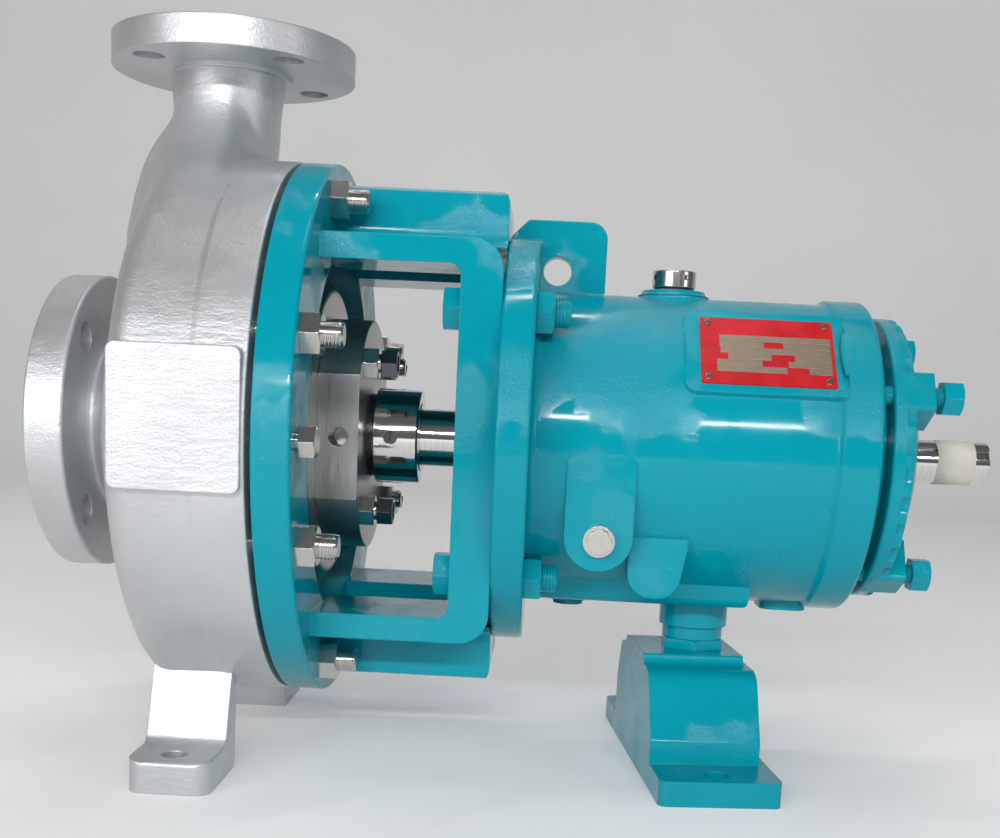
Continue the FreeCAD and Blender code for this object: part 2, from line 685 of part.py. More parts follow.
def bearing_locknut():
    front = THRUST_BEARING_X + THRUST_BEARING_W + 2.3
    outer_r = JOURNAL_R + 9.5
    body = tube(front, front + 11, JOURNAL_R, outer_r)
    slot = block(front - OVERRUN, front + 12, -3, 3, outer_r - 2.5, outer_r + OVERRUN)
    return body.cut([slot.rotated(V(0, 0, 0), ALONG_X, 90 * i) for i in range(4)])


def lock_washer():
    front = THRUST_BEARING_X + THRUST_BEARING_W
    return tube(front, front + 2.3, JOURNAL_R, JOURNAL_R + 7.5)


# Bearing housing

def housing_sump():
    """Flat-bottomed oil sump under the housing."""
    start = HOUSING_FLANGE_REAR - 5
    side = plate_y([(start, -60), (start, SUMP_BOTTOM), (SUMP_REAR, SUMP_BOTTOM, 4), (SUMP_REAR + 2, -60)],
                   -66, 66)
    section = plate_x([(-66, -50), (-46, SUMP_BOTTOM, 9), (46, SUMP_BOTTOM, 9), (66, -50)], start, SUMP_REAR + 2)
    return side.common([section])


def lifting_lug():
    root = 88
    front = WALL_REAR + 0.5
    body = plate_y([(front, root), (front, LUG_TOP - 11, 4), (front + 11, LUG_TOP, 5), (LUG_REAR, LUG_TOP, 11),
                    (LUG_REAR, root)], -LUG_HALF_T, LUG_HALF_T)
    return body.cut(cross_bar(-LUG_HALF_T - OVERRUN, LUG_HALF_T + OVERRUN, LUG_HOLE_R, LUG_HOLE_X, LUG_HOLE_Z))


def tilted(shape):
    """Turn a shape drawn on the near side, facing -Y, up to the nameplate's direction."""
    return shape.rotated(V(0, 0, 0), ALONG_X, -PLATE_TILT)


def plate_pad(depth, top):
    """Plan of the raised pad under the nameplate, between two distances from the axis."""
    end = HOUSING_BAND_FRONT + 3
    plan = [(PAD_FRONT, -PAD_HALF, 8), (end, -PAD_HALF), (end, PAD_HALF), (PAD_FRONT, PAD_HALF, 8)]
    return tilted(plate_y(plan, -top, -depth))


def side_bosses():
    """Near side: U-shaped boss of the oil plug and the leaning lobe beside it."""
    tall = plate_y([(224, -71, 20.5), (265.3, -71, 20.5), (265.3, -2, 6), (224, -2, 6)], -OIL_BOSS_FACE, -60)
    lobe = plate_y([(264, -50.5), (264, -87.5, 15), (294, -87.5, 14), (300.5, -50.5, 2)], -LOBE_FACE, -40)
    return [tall, lobe]


def bearing_housing():
    pilot_front = WALL_REAR - PILOT_LENGTH
    shell = lathe([(pilot_front, 0), (pilot_front, PILOT_R, SOFT_EDGE), (WALL_REAR, PILOT_R),
                   (WALL_REAR, HOUSING_FLANGE_R, 2), (HOUSING_FLANGE_REAR, HOUSING_FLANGE_R, 2.5),
                   (HOUSING_FLANGE_REAR, HOUSING_R, 5), (HOUSING_BAND_FRONT - 2, HOUSING_R, 3),
                   (HOUSING_BAND_FRONT + 1, HOUSING_BAND_R), (HOUSING_REAR - 3, HOUSING_BAND_R, 3),
                   (HOUSING_REAR, HOUSING_BAND_R - 6), (HOUSING_REAR, 0)])
    shell = shell.cut(plate_pad(PAD_PLANE_R, HOUSING_R + OVERRUN))
    pad = plate_pad(CARRIER_BORE_R + 5, PAD_PLANE_R).common([rod(PAD_FRONT, HOUSING_REAR, PAD_EDGE_R)])
    filler = lathe([(88, 0), (88, 27), (98, 25, 7), (99, 20.5, 4), (FILLER_TOP, 20, 2), (FILLER_TOP, 0)])
    filler.rotate(V(0, 0, 0), ALONG_Y, -90)
    filler.translate(V(FILLER_X, 0, 0))
    drain_boss = post(DRAIN_FACE, SUMP_BOTTOM + 10, DRAIN_BOSS_R, DRAIN_X)
    column_boss = post(COLUMN_BOSS_END, -90, COLUMN_BOSS_R, SUPPORT_X)
    rear_pad = plate_z(rectangle(358, HOUSING_BAND_FRONT + 5, -16, 16, 8), -HOUSING_BAND_R - 1.5, -90)
    body = joined([shell, pad, housing_sump(), lifting_lug(), filler, drain_boss, column_boss, rear_pad]
                  + side_bosses())
    bearing_front = INBOARD_BEARING_X - 2
    bearing_room = BEARING_R + RUNNING_FIT
    chamber_start = 228
    chamber_end = 345
    hollow = lathe([(pilot_front - OVERRUN, 0), (pilot_front - OVERRUN, 30), (bearing_front - 4, 30),
                    (bearing_front - 4, 40), (bearing_front, 40), (bearing_front, bearing_room),
                    (chamber_start, bearing_room), (chamber_start, OIL_CHAMBER_R),
                    (chamber_end, OIL_CHAMBER_R), (chamber_end, CARRIER_BORE_R),
                    (HOUSING_REAR + OVERRUN, CARRIER_BORE_R), (HOUSING_REAR + OVERRUN, 0)])
    holes = [rod(WALL_REAR - OVERRUN, HOUSING_FLANGE_REAR + OVERRUN, ADAPTER_BOLT_R + BOLT_CLEARANCE, y, z)
             for y, z in polar(4, ADAPTER_BOLT_CIRCLE_R, 45)]
    spot_faces = [rod(HOUSING_FLANGE_REAR, HOUSING_FLANGE_REAR + ADAPTER_NUT_T + 2,
                      ADAPTER_HEX_FLATS / math.sqrt(3) + BOLT_CLEARANCE, y, z)
                  for y, z in polar(4, ADAPTER_BOLT_CIRCLE_R, 45)]
    holes += [rod(HOUSING_REAR - CLAMP_DEPTH - 2, HOUSING_REAR + OVERRUN, JACK_SCREW_R,
                  *at_angle(SCREW_CIRCLE_R, angle)) for angle in CLAMP_ANGLES]
    holes.append(post(OIL_CHAMBER_R - 10, FILLER_TOP + OVERRUN, CAP_STEM_R + RUNNING_FIT, FILLER_X))
    holes.append(cross_bar(-OIL_BOSS_FACE - OVERRUN, -84, OIL_STEM_R, OIL_PLUG_X, OIL_PLUG_Z))
    holes.append(post(DRAIN_FACE - OVERRUN, -80, DRAIN_R, DRAIN_X))
    holes.append(post(COLUMN_BOSS_END - OVERRUN, -92, COLUMN_R, SUPPORT_X))
    return body.cut([hollow] + holes + spot_faces)


def filler_cap():
    """Screwed cap with four vent holes in its rim."""
    head = lathe([(CAP_UNDER, 0), (CAP_UNDER, CAP_R, 0.8), (CAP_TOP, CAP_R, SOFT_EDGE), (CAP_TOP, 0)])
    stem_end = CAP_UNDER - CAP_STEM_LENGTH
    stem = lathe([(stem_end, 0), (stem_end, CAP_STEM_R, SOFT_EDGE), (CAP_UNDER + OVERRUN, CAP_STEM_R),
                  (CAP_UNDER + OVERRUN, 0)])
    body = head.fuse(stem)
    body.rotate(V(0, 0, 0), ALONG_Y, -90)
    middle = (CAP_UNDER + CAP_TOP) / 2 + 1
    vent = Part.makeCylinder(VENT_R, VENT_DEPTH + OVERRUN, V(CAP_R - VENT_DEPTH, 0, middle), ALONG_X)
    body = body.cut([vent.rotated(V(0, 0, 0), ALONG_Z, 25 + 90 * i) for i in range(4)])
    return body.translated(V(FILLER_X, 0, 0))


def filler_cap_washer():
    hole = post(FILLER_TOP - OVERRUN, CAP_UNDER + OVERRUN, CAP_STEM_R + RUNNING_FIT, FILLER_X)
    return post(FILLER_TOP, CAP_UNDER, CAP_R - 1.5, FILLER_X).cut(hole)


def oil_level_plug():
    collar = cross_bar(-OIL_BOSS_FACE - 3, -OIL_BOSS_FACE, OIL_PLUG_R, OIL_PLUG_X, OIL_PLUG_Z)
    stem = cross_bar(-OIL_BOSS_FACE - OVERRUN, -OIL_BOSS_FACE + 13, OIL_STEM_R, OIL_PLUG_X, OIL_PLUG_Z)
    head = hexagon(0, 5.5, 14)
    head.rotate(V(0, 0, 0), ALONG_Z, -90)
    head.translate(V(OIL_PLUG_X, -OIL_BOSS_FACE - 2.5, OIL_PLUG_Z))
    return joined([collar, stem, head])


def sump_drain_plug():
    head = post(DRAIN_FACE - 2.5, DRAIN_FACE, DRAIN_BOSS_R - 2, DRAIN_X)
    return head.fuse(post(DRAIN_FACE - OVERRUN, DRAIN_FACE + 15, DRAIN_R, DRAIN_X))


def nameplate():
    outline = rectangle(PLATE_X0, PLATE_X0 + PLATE_LENGTH, -PLATE_HEIGHT / 2, PLATE_HEIGHT / 2, 1.5)
    return tilted(plate_y(outline, -PAD_PLANE_R - PLATE_T, -PAD_PLANE_R))


def nameplate_rivets():
    face = PAD_PLANE_R + PLATE_T
    half = PLATE_HEIGHT / 2 - RIVET_INSET
    return [tilted(cross_bar(-face - 1.1, -face, 2.1, x, z))
            for x in (PLATE_X0 + RIVET_INSET, PLATE_X0 + PLATE_LENGTH - RIVET_INSET) for z in (-half, half)]


# Thrust bearing carrier

def thrust_carrier():
    """Bearing carrier: spigot in the housing bore, scalloped rim, screw bosses and seal nose."""
    fit_r = CARRIER_BORE_R - RUNNING_FIT
    bearing_end = THRUST_BEARING_X + THRUST_BEARING_W
    body = lathe([(CARRIER_FRONT, 0), (CARRIER_FRONT, fit_r, SOFT_EDGE), (CARRIER_FACE, fit_r),
                  (CARRIER_FACE, CARRIER_R, 2), (CARRIER_RIM_REAR, CARRIER_R, 2), (CARRIER_RIM_REAR + 3, 78, 4),
                  (CARRIER_REAR - 8, 62, 8), (CARRIER_REAR - 3, 40, 6), (CARRIER_REAR, 31, 2), (CARRIER_REAR, 0)])
    body = body.cut([rod(CARRIER_RIM_REAR - 5, CARRIER_REAR, SCALLOP_R, y, z)
                     for y, z in polar(SCALLOPS, CARRIER_R + SCALLOP_OFFSET, 4)])
    boss = plate_x(rectangle(SCREW_CIRCLE_R - 19, CARRIER_R, -SCREW_BOSS_HALF, SCREW_BOSS_HALF, 3),
                   CARRIER_FACE + 3, SCREW_BOSS_REAR)
    screw_angles = JACK_ANGLES + CLAMP_ANGLES
    bosses = [boss.rotated(V(0, 0, 0), ALONG_X, angle) for angle in screw_angles]
    body = joined([body] + bosses)
    cavity_end = OUTER_JOURNAL_START + 0.5
    hollow = lathe([(CARRIER_FRONT - OVERRUN, 0), (CARRIER_FRONT - OVERRUN, BEARING_R), (bearing_end, BEARING_R),
                    (bearing_end, 42), (cavity_end, 38, 4), (cavity_end, OUTER_SEAL_R - 2),
                    (OUTER_SEAL_FRONT, OUTER_SEAL_R - 2), (OUTER_SEAL_FRONT, OUTER_SEAL_R),
                    (CARRIER_REAR + OVERRUN, OUTER_SEAL_R), (CARRIER_REAR + OVERRUN, 0)])
    snap_groove = tube(THRUST_BEARING_X - SNAP_RING_T, THRUST_BEARING_X, BEARING_R - 10, SNAP_GROOVE_R)
    ring_groove = tube(RING_GROOVE_X, RING_GROOVE_X + RING_GROOVE_W, RING_GROOVE_R, CARRIER_BORE_R + OVERRUN)
    holes = [rod(CARRIER_FACE - OVERRUN, SCREW_BOSS_REAR + OVERRUN, JACK_SCREW_R + RUNNING_FIT,
                 *at_angle(SCREW_CIRCLE_R, angle)) for angle in screw_angles]
    return body.cut([hollow, snap_groove, ring_groove] + holes)


def snap_ring():
    return tube(THRUST_BEARING_X - SNAP_RING_T, THRUST_BEARING_X, BEARING_R - 3.5, SNAP_GROOVE_R)


def carrier_o_ring():
    return tube(RING_GROOVE_X, RING_GROOVE_X + RING_GROOVE_W, RING_GROOVE_R, CARRIER_BORE_R - RUNNING_FIT)


def carrier_screw(front, angle):
    """Hexagon screw through the carrier's rim, its head standing off the boss."""
    y, z = at_angle(SCREW_CIRCLE_R, angle)
    shank = threaded_rod(front, SCREW_HEAD_FRONT + SOFT_EDGE, JACK_SCREW_R, y, z)
    return shank.fuse(hexagon(SCREW_HEAD_FRONT, SCREW_HEAD_FRONT + SCREW_HEAD_T, SCREW_HEAD_FLATS, y, z))


def clamp_bolts():
    return [carrier_screw(HOUSING_REAR - CLAMP_DEPTH, angle) for angle in CLAMP_ANGLES]


# Fasteners of the bearing housing

def adapter_bolts():
    bolts = []
    for y, z in polar(4, ADAPTER_BOLT_CIRCLE_R, 45):
        head = hexagon(-WALL_FRONT, 10.3 - WALL_FRONT, ADAPTER_HEX_FLATS, y, z)
        head = head.mirror(V(0, 0, 0), ALONG_X)
        bolts.append(head.fuse(threaded_rod(WALL_FRONT - 2, ADAPTER_BOLT_END, ADAPTER_BOLT_R, y, z)))
    return bolts


def adapter_nuts():
    return [nut(HOUSING_FLANGE_REAR, ADAPTER_NUT_T, ADAPTER_HEX_FLATS, ADAPTER_BOLT_R, y, z)
            for y, z in polar(4, ADAPTER_BOLT_CIRCLE_R, 45)]


# Support under the bearing housing

def upright(shape):
    """Stand a shape drawn along X up along Z, over the support foot."""
    return shape.rotated(V(0, 0, 0), ALONG_Y, -90).translated(V(SUPPORT_X, 0, 0))


def support_nut():
    return upright(nut(SUPPORT_NUT_TOP - SUPPORT_NUT_T, SUPPORT_NUT_T, SUPPORT_NUT_FLATS, COLUMN_R, 0, 0))


def support_washer():
    return upright(tube(SUPPORT_NUT_TOP, COLUMN_BOSS_END, COLUMN_R, SUPPORT_WASHER_R))


def support_stud():
    return upright(threaded_rod(FOOT_TOP - STUD_DEPTH, -92.5, COLUMN_R))


def support_foot():
    """Swivelled foot: base plate, block with a rounded front, and a coved pad under the nut."""
    pad_top = SUPPORT_NUT_TOP - SUPPORT_NUT_T
    rear = FOOT_HALF_W - 6
    back = FOOT_BLOCK_HALF_L
    base = plate_z(rectangle(-FOOT_HALF_W, FOOT_HALF_W, -FOOT_HALF_L, FOOT_HALF_L, 5), BASE, BASE + FOOT_BASE_T)
    section = plate_x([(-back - 20, BASE), (-back - 20, BASE + 30, 6), (-back, FOOT_TOP, 15),
                       (back, FOOT_TOP, 8), (back + 10, BASE + 45, 10), (back + 12, BASE)], -FOOT_HALF_W, rear)
    pad = plate_x([(-42, FOOT_TOP - 4), (-42, FOOT_TOP), (-33, FOOT_TOP + 1, 5), (-31, pad_top, 1.5),
                   (34, pad_top, 3), (38, FOOT_TOP - 4)], -FOOT_HALF_W, rear - 4)
    body = joined([base, section, pad])
    holes = [post(BASE - OVERRUN, BASE + FOOT_BASE_T + OVERRUN, SUPPORT_HOLE_R, 0, y)
             for y in (-SUPPORT_HOLE_Y, SUPPORT_HOLE_Y)]
    body = body.cut(holes + [post(FOOT_TOP - STUD_DEPTH - 4, pad_top + OVERRUN, COLUMN_R)])
    body.rotate(V(0, 0, 0), ALONG_Z, FOOT_SWIVEL)
    body.translate(V(SUPPORT_X, 0, 0))
    return body


def main():
    os.makedirs("parts", exist_ok=True)
    save("volute_casing", volute_casing())
    save("suction_nozzle", suction_nozzle())
    save("pump_feet", feet())
    save("casing_gasket", casing_gasket())
    save("seal_chamber_cover", seal_chamber_cover())
    save("frame_adapter", frame_adapter())
    save("casing_studs", casing_studs())
    save("casing_nuts", casing_nuts())
    save("jack_bolts", jack_bolts())
    save("seal_gland", seal_gland())
    save("gland_studs", gland_studs())
    save("gland_nuts", gland_nuts())
    save("gland_lock_nuts", gland_lock_nuts())
    save("seal_sleeve", seal_sleeve())
    save("seal_rotary_ring", seal_rotary_ring())
    save("seal_stationary_ring", seal_stationary_ring())
    save("seal_throttle_ring", seal_throttle_ring())
    save("drive_collar", drive_collar())
    save("collar_set_screws", collar_set_screws())
    save("impeller", impeller())
    save("pump_shaft", pump_shaft())
    outer, inner, balls, cage = bearing_parts(INBOARD_BEARING_X, BEARING_W, 1, 8, 8.5)
    save("inboard_outer_ring", outer)
    save("inboard_inner_ring", inner)
    save("inboard_balls", balls)
    save("inboard_cage", cage)
    outer, inner, balls, cage = bearing_parts(THRUST_BEARING_X, THRUST_BEARING_W, 2, 8, 7.5)
    save("thrust_outer_ring", outer)
    save("thrust_inner_ring", inner)
    save("thrust_balls", balls)
    save("thrust_cage", cage)
    save("bearing_locknut", bearing_locknut())
    save("lock_washer", lock_washer())
    save("inboard_oil_seal", oil_seal(WALL_REAR - PILOT_LENGTH, BEARING_STEP - WALL_REAR + PILOT_LENGTH - 1.5,
                                      SEAL_SHAFT_R, 30))
    save("outboard_oil_seal", oil_seal(OUTER_SEAL_FRONT, OUTER_SEAL_W, OUTER_JOURNAL_R, OUTER_SEAL_R))
    save("bearing_housing", bearing_housing())
    save("filler_cap", filler_cap())
    save("filler_cap_washer", filler_cap_washer())
    save("oil_level_plug", oil_level_plug())
    save("sump_drain_plug", sump_drain_plug())
    save("nameplate", nameplate())
    save("nameplate_rivets", nameplate_rivets())
    save("thrust_carrier", thrust_carrier())
    save("snap_ring", snap_ring())
    save("carrier_o_ring", carrier_o_ring())
    for index, angle in enumerate(JACK_ANGLES):
        save("jack_screw_%d" % (index + 1), carrier_screw(HOUSING_REAR + RUNNING_FIT, angle))
    save("clamp_bolts", clamp_bolts())
    save("adapter_bolts", adapter_bolts())
    save("adapter_nuts", adapter_nuts())
    save("support_nut", support_nut())
    save("support_washer", support_washer())
    save("support_stud", support_stud())
    save("support_foot", support_foot())


main()
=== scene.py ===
import math

import bpy
import json
from mathutils import Matrix, Vector


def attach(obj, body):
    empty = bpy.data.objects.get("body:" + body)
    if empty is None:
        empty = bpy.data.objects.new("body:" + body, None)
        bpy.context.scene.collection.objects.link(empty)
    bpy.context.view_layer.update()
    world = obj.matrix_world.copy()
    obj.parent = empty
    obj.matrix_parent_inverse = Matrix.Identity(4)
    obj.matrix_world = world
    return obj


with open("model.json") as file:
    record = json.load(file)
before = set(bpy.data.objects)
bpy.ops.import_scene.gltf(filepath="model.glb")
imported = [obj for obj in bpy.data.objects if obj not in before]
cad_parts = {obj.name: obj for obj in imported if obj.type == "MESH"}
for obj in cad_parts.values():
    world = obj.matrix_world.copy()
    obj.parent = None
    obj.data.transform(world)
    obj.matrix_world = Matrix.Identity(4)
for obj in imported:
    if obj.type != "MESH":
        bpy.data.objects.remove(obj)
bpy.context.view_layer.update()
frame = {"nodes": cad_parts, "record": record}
NODES = frame["nodes"]

# Sizes in metres, the same values as in the part's source
MM = 0.001
SHAFT_Z = 209.55 * MM
NOZZLE_SEAM = -41.0 * MM

# Camera as solved from the photograph, whose frame is 1000 by 838 pixels
SENSOR_MM = 36.0
FOCAL_PX = 1247.68
IMAGE_W = 1000.0
CAMERA_AT = (0.21049, -0.83503, 0.23948)
CAMERA_YAW = -0.0244
CAMERA_PITCH = -0.1534
CAMERA_ROLL = 0.0477
SHIFT = (-0.0078, 0.17)


# Materials

class Look:
    """A Principled material with helpers that add procedural colour, roughness and height."""

    def __init__(self, name, colour, roughness, metallic=0.0):
        self.material = bpy.data.materials.new(name)
        self.material.use_nodes = True
        self.tree = self.material.node_tree
        self.shader = self.tree.nodes["Principled BSDF"]
        self.shader.inputs["Base Color"].default_value = (*colour, 1.0)
        self.shader.inputs["Roughness"].default_value = roughness
        self.shader.inputs["Metallic"].default_value = metallic
        self.colour = colour
        self.roughness = roughness
        self.normal = None
        self.coordinates = self.tree.nodes.new("ShaderNodeTexCoord")

    def link(self, source, target):
        self.tree.links.new(source, target)

    def scaled(self, stretch):
        mapping = self.tree.nodes.new("ShaderNodeMapping")
        mapping.inputs["Scale"].default_value = stretch
        self.link(self.coordinates.outputs["Object"], mapping.inputs["Vector"])
        return mapping.outputs["Vector"]

    def noise(self, scale, detail=3.0, roughness=0.5, stretch=(1.0, 1.0, 1.0), distortion=0.0):
        node = self.tree.nodes.new("ShaderNodeTexNoise")
        node.inputs["Scale"].default_value = scale
        node.inputs["Detail"].default_value = detail
        node.inputs["Roughness"].default_value = roughness
        node.inputs["Distortion"].default_value = distortion
        self.link(self.scaled(stretch), node.inputs["Vector"])
        return node.outputs["Fac"]

    def ramp(self, value, low, high, start, end):
        node = self.tree.nodes.new("ShaderNodeMapRange")
        node.inputs["From Min"].default_value = low
        node.inputs["From Max"].default_value = high
        node.inputs["To Min"].default_value = start
        node.inputs["To Max"].default_value = end
        self.link(value, node.inputs["Value"])
        return node.outputs["Result"]

    def product(self, a, b):
        node = self.tree.nodes.new("ShaderNodeMath")
        node.operation = "MULTIPLY"
        self.link(a, node.inputs[0])
        self.link(b, node.inputs[1])
        return node.outputs["Value"]

    def soften_edges(self, radius):
        """Shade sharp edges as if they were rounded, before any bump."""
        node = self.tree.nodes.new("ShaderNodeBevel")
        node.samples = 6
        node.inputs["Radius"].default_value = radius
        self.normal = node.outputs["Normal"]

    def keep_seam_flush(self, seam_x, reach):
        """Leave the normal as it is near the plane where two nodes of one casting meet."""
        place = self.tree.nodes.new("ShaderNodeSeparateXYZ")
        self.link(self.coordinates.outputs["Object"], place.inputs["Vector"])
        near = self.tree.nodes.new("ShaderNodeMath")
        near.operation = "COMPARE"
        near.inputs[1].default_value = seam_x
        near.inputs[2].default_value = reach
        self.link(place.outputs["X"], near.inputs[0])
        surface = self.tree.nodes.new("ShaderNodeNewGeometry")
        mix = self.tree.nodes.new("ShaderNodeMix")
        mix.data_type = "VECTOR"
        self.link(near.outputs["Value"], mix.inputs["Factor"])
        self.link(self.normal, mix.inputs[4])
        self.link(surface.outputs["Normal"], mix.inputs[5])
        self.normal = mix.outputs[1]

    def bump(self, height, distance, strength=1.0):
        node = self.tree.nodes.new("ShaderNodeBump")
        node.inputs["Distance"].default_value = distance
        node.inputs["Strength"].default_value = strength
        self.link(height, node.inputs["Height"])
        if self.normal is not None:
            self.link(self.normal, node.inputs["Normal"])
        self.normal = node.outputs["Normal"]
        self.link(self.normal, self.shader.inputs["Normal"])

    def tint(self, value, dark, light, low=0.35, high=0.65):
        """Colour that runs between two tints with a value."""
        node = self.tree.nodes.new("ShaderNodeMix")
        node.data_type = "RGBA"
        node.inputs["A"].default_value = (*dark, 1.0)
        node.inputs["B"].default_value = (*light, 1.0)
        self.link(self.ramp(value, low, high, 0.0, 1.0), node.inputs["Factor"])
        self.link(node.outputs["Result"], self.shader.inputs["Base Color"])

    def glow(self, colour, strength):
        """Light of its own that only direct, mirrored and refracted views see, and that lights nothing."""
        path = self.tree.nodes.new("ShaderNodeLightPath")
        seen = path.outputs["Is Camera Ray"]
        for name in ("Is Glossy Ray", "Is Transmission Ray"):
            either = self.tree.nodes.new("ShaderNodeMath")
            either.operation = "MAXIMUM"
            self.link(seen, either.inputs[0])
            self.link(path.outputs[name], either.inputs[1])
            seen = either.outputs["Value"]
        self.shader.inputs["Emission Color"].default_value = (*colour, 1.0)
        self.link(self.ramp(seen, 0.0, 1.0, 0.0, strength), self.shader.inputs["Emission Strength"])

    def vary_roughness(self, value, low, high, start=0.35, end=0.65):
        self.link(self.ramp(value, start, end, low, high), self.shader.inputs["Roughness"])


def shade(colour, factor):
    return tuple(min(1.0, c * factor) for c in colour)


def enamel_look():
    """Glossy teal enamel over a sand casting: slow waves, orange peel, and patches of rough grain."""
    colour = (0.0, 0.325, 0.42)
    look = Look("enamel", colour, 0.12)
    look.soften_edges(0.0012)
    look.tint(look.noise(6.0, 3.0), shade(colour, 0.93), shade(colour, 1.04))
    look.vary_roughness(look.noise(70.0, 3.0), 0.07, 0.13)
    look.bump(look.noise(22.0, 2.0), 0.00015)
    patches = look.ramp(look.noise(13.0, 3.0, 0.6), 0.48, 0.60, 0.02, 1.0)
    look.bump(look.product(look.noise(520.0, 3.0, 0.7), patches), 0.0008)
    look.shader.inputs["Specular IOR Level"].default_value = 0.26
    return look.material


def silver_look():
    """Aluminium paint on a sand casting: even fine grain and cloudy brightness."""
    colour = (0.62, 0.635, 0.645)
    look = Look("cast_silver", colour, 0.42, 0.7)
    look.soften_edges(0.0015)
    look.keep_seam_flush(NOZZLE_SEAM, 2.5 * MM)
    look.tint(look.noise(9.0, 4.0), shade(colour, 0.88), shade(colour, 1.05))
    look.vary_roughness(look.noise(45.0, 5.0), 0.38, 0.46)
    look.bump(look.noise(26.0, 2.0), 0.0011)
    look.bump(look.noise(190.0, 3.0, 0.6, (0.5, 0.5, 1.5)), 0.0003)
    look.bump(look.noise(700.0, 3.0, 0.6), 0.00022)
    return look.material


def metal(name, colour, roughness, stretch, grain=2200.0, depth=0.000012, edge=0.0004):
    """Worked metal: fine lines along one direction, from a stretched noise."""
    look = Look(name, colour, roughness, 1.0)
    look.soften_edges(edge)
    lines = look.noise(grain, 2.0, 0.5, stretch)
    look.tint(lines, shade(colour, 0.9), shade(colour, 1.05))
    look.vary_roughness(lines, roughness * 0.85, roughness * 1.2)
    look.bump(lines, depth)
    return look.material


def plain(name, colour, roughness, metallic=0.0, grain=400.0, height=0.0001):
    look = Look(name, colour, roughness, metallic)
    look.tint(look.noise(40.0, 3.0), shade(colour, 0.85), shade(colour, 1.12))
    look.vary_roughness(look.noise(90.0, 3.0), roughness * 0.85, min(1.0, roughness * 1.2))
    look.bump(look.noise(grain, 3.0), height)
    return look.material


TURNED = (1.0, 0.02, 0.02)
BRUSHED_UP = (1.0, 1.0, 0.03)

ENAMEL = enamel_look()
SILVER = silver_look()
STAINLESS = metal("stainless", (0.62, 0.605, 0.575), 0.2, BRUSHED_UP)
GROUND_PLATE = metal("ground_plate", (0.50, 0.495, 0.48), 0.34, BRUSHED_UP, 1500.0, 0.00002, 0.0007)
POLISHED = metal("polished", (0.70, 0.69, 0.665), 0.09, TURNED, 1800.0, 0.000006)
TURNED_STEEL = metal("turned_steel", (0.66, 0.65, 0.63), 0.14, TURNED)
DARK_STEEL = metal("dark_steel", (0.16, 0.165, 0.18), 0.22, BRUSHED_UP)
CARBON = plain("carbon", (0.012, 0.012, 0.013), 0.32)
GASKET = plain("gasket", (0.015, 0.015, 0.017), 0.6)
BRONZE = metal("bronze", (0.55, 0.38, 0.18), 0.3, TURNED)
PLATE_RED = plain("plate_red", (0.62, 0.008, 0.014), 0.3, 0.1, 150.0, 0.00004)
PLATE_FIELD = metal("plate_field", (0.42, 0.36, 0.28), 0.45, (0.05, 1.0, 1.0))
TAPE = plain("tape", (0.78, 0.75, 0.66), 0.8, 0.0, 700.0, 0.00025)

SLOT_LOOKS = {
    "cast_silver": SILVER, "enamel": ENAMEL, "enamel_fastener": ENAMEL, "stainless": STAINLESS,
    "bright_steel": TURNED_STEEL, "dark_steel": DARK_STEEL, "carbon": CARBON, "gasket": GASKET,
    "bronze": BRONZE, "plate_red": PLATE_RED, "tape": TAPE,
}
NODE_LOOKS = {"seal_gland": GROUND_PLATE, "seal_chamber_cover": GROUND_PLATE, "drive_collar": POLISHED,
              "pump_shaft": POLISHED, "seal_sleeve": POLISHED}


def dress_cad():
    """Give every CAD node its own look, or else the look of its material slot."""
    for part in frame["record"]["subparts"]:
        mesh = NODES[part["node"]].data
        mesh.materials.clear()
        mesh.materials.append(NODE_LOOKS.get(part["node"], SLOT_LOOKS[part["material_slot"]]))


# Detail pieces

def new_piece(name, vertices, faces, material, body, smooth=True):
    mesh = bpy.data.meshes.new(name)
    mesh.from_pydata(vertices, [], faces)
    mesh.materials.append(material)
    mesh.polygons.foreach_set("use_smooth", [smooth] * len(mesh.polygons))
    mesh.update()
    piece = bpy.data.objects.new(name, mesh)
    bpy.context.scene.collection.objects.link(piece)
    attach(piece, body)
    return piece


def helix(start, length, radius, pitch, height):
    """Vertices and faces of one thread ridge along X round the line through start."""
    steps_per_turn = 20
    steps = int(length / pitch * steps_per_turn)
    vertices = []
    faces = []
    for i in range(steps + 1):
        angle = 2 * math.pi * i / steps_per_turn
        middle = start[0] + length * i / steps
        fade = min(1.0, i / 10, (steps - i) / 10)
        for offset, lift in ((-0.42, -0.1), (0.0, height / MM * fade), (0.42, -0.1)):
            r = radius + lift * MM
            vertices.append((middle + offset * pitch, start[1] + r * math.cos(angle),
                             start[2] + r * math.sin(angle)))
        if i:
            a = 3 * (i - 1)
            b = 3 * i
            faces += [(a, a + 1, b + 1, b), (a + 1, a + 2, b + 2, b + 1), (a + 2, a, b, b + 2)]
    last = 3 * steps
    faces += [(0, 2, 1), (last, last + 1, last + 2)]
    return vertices, faces


def threads(name, places, length, radius, pitch, height, material, body):
    """Thread ridges of a group of equal screws."""
    vertices = []
    faces = []
    for place in places:
        more, new_faces = helix(place, length, radius, pitch, height)
        base = len(vertices)
        vertices += more
        faces += [tuple(base + i for i in face) for face in new_faces]
    return new_piece(name, vertices, faces, material, body)


def ring_of(count, radius, first, x):
    """Points spaced evenly round the shaft axis at one x."""
    points = []
    for i in range(count):
        angle = math.radians(first + 360.0 * i / count)
        points.append((x, radius * math.cos(angle), SHAFT_Z + radius * math.sin(angle)))
    return points


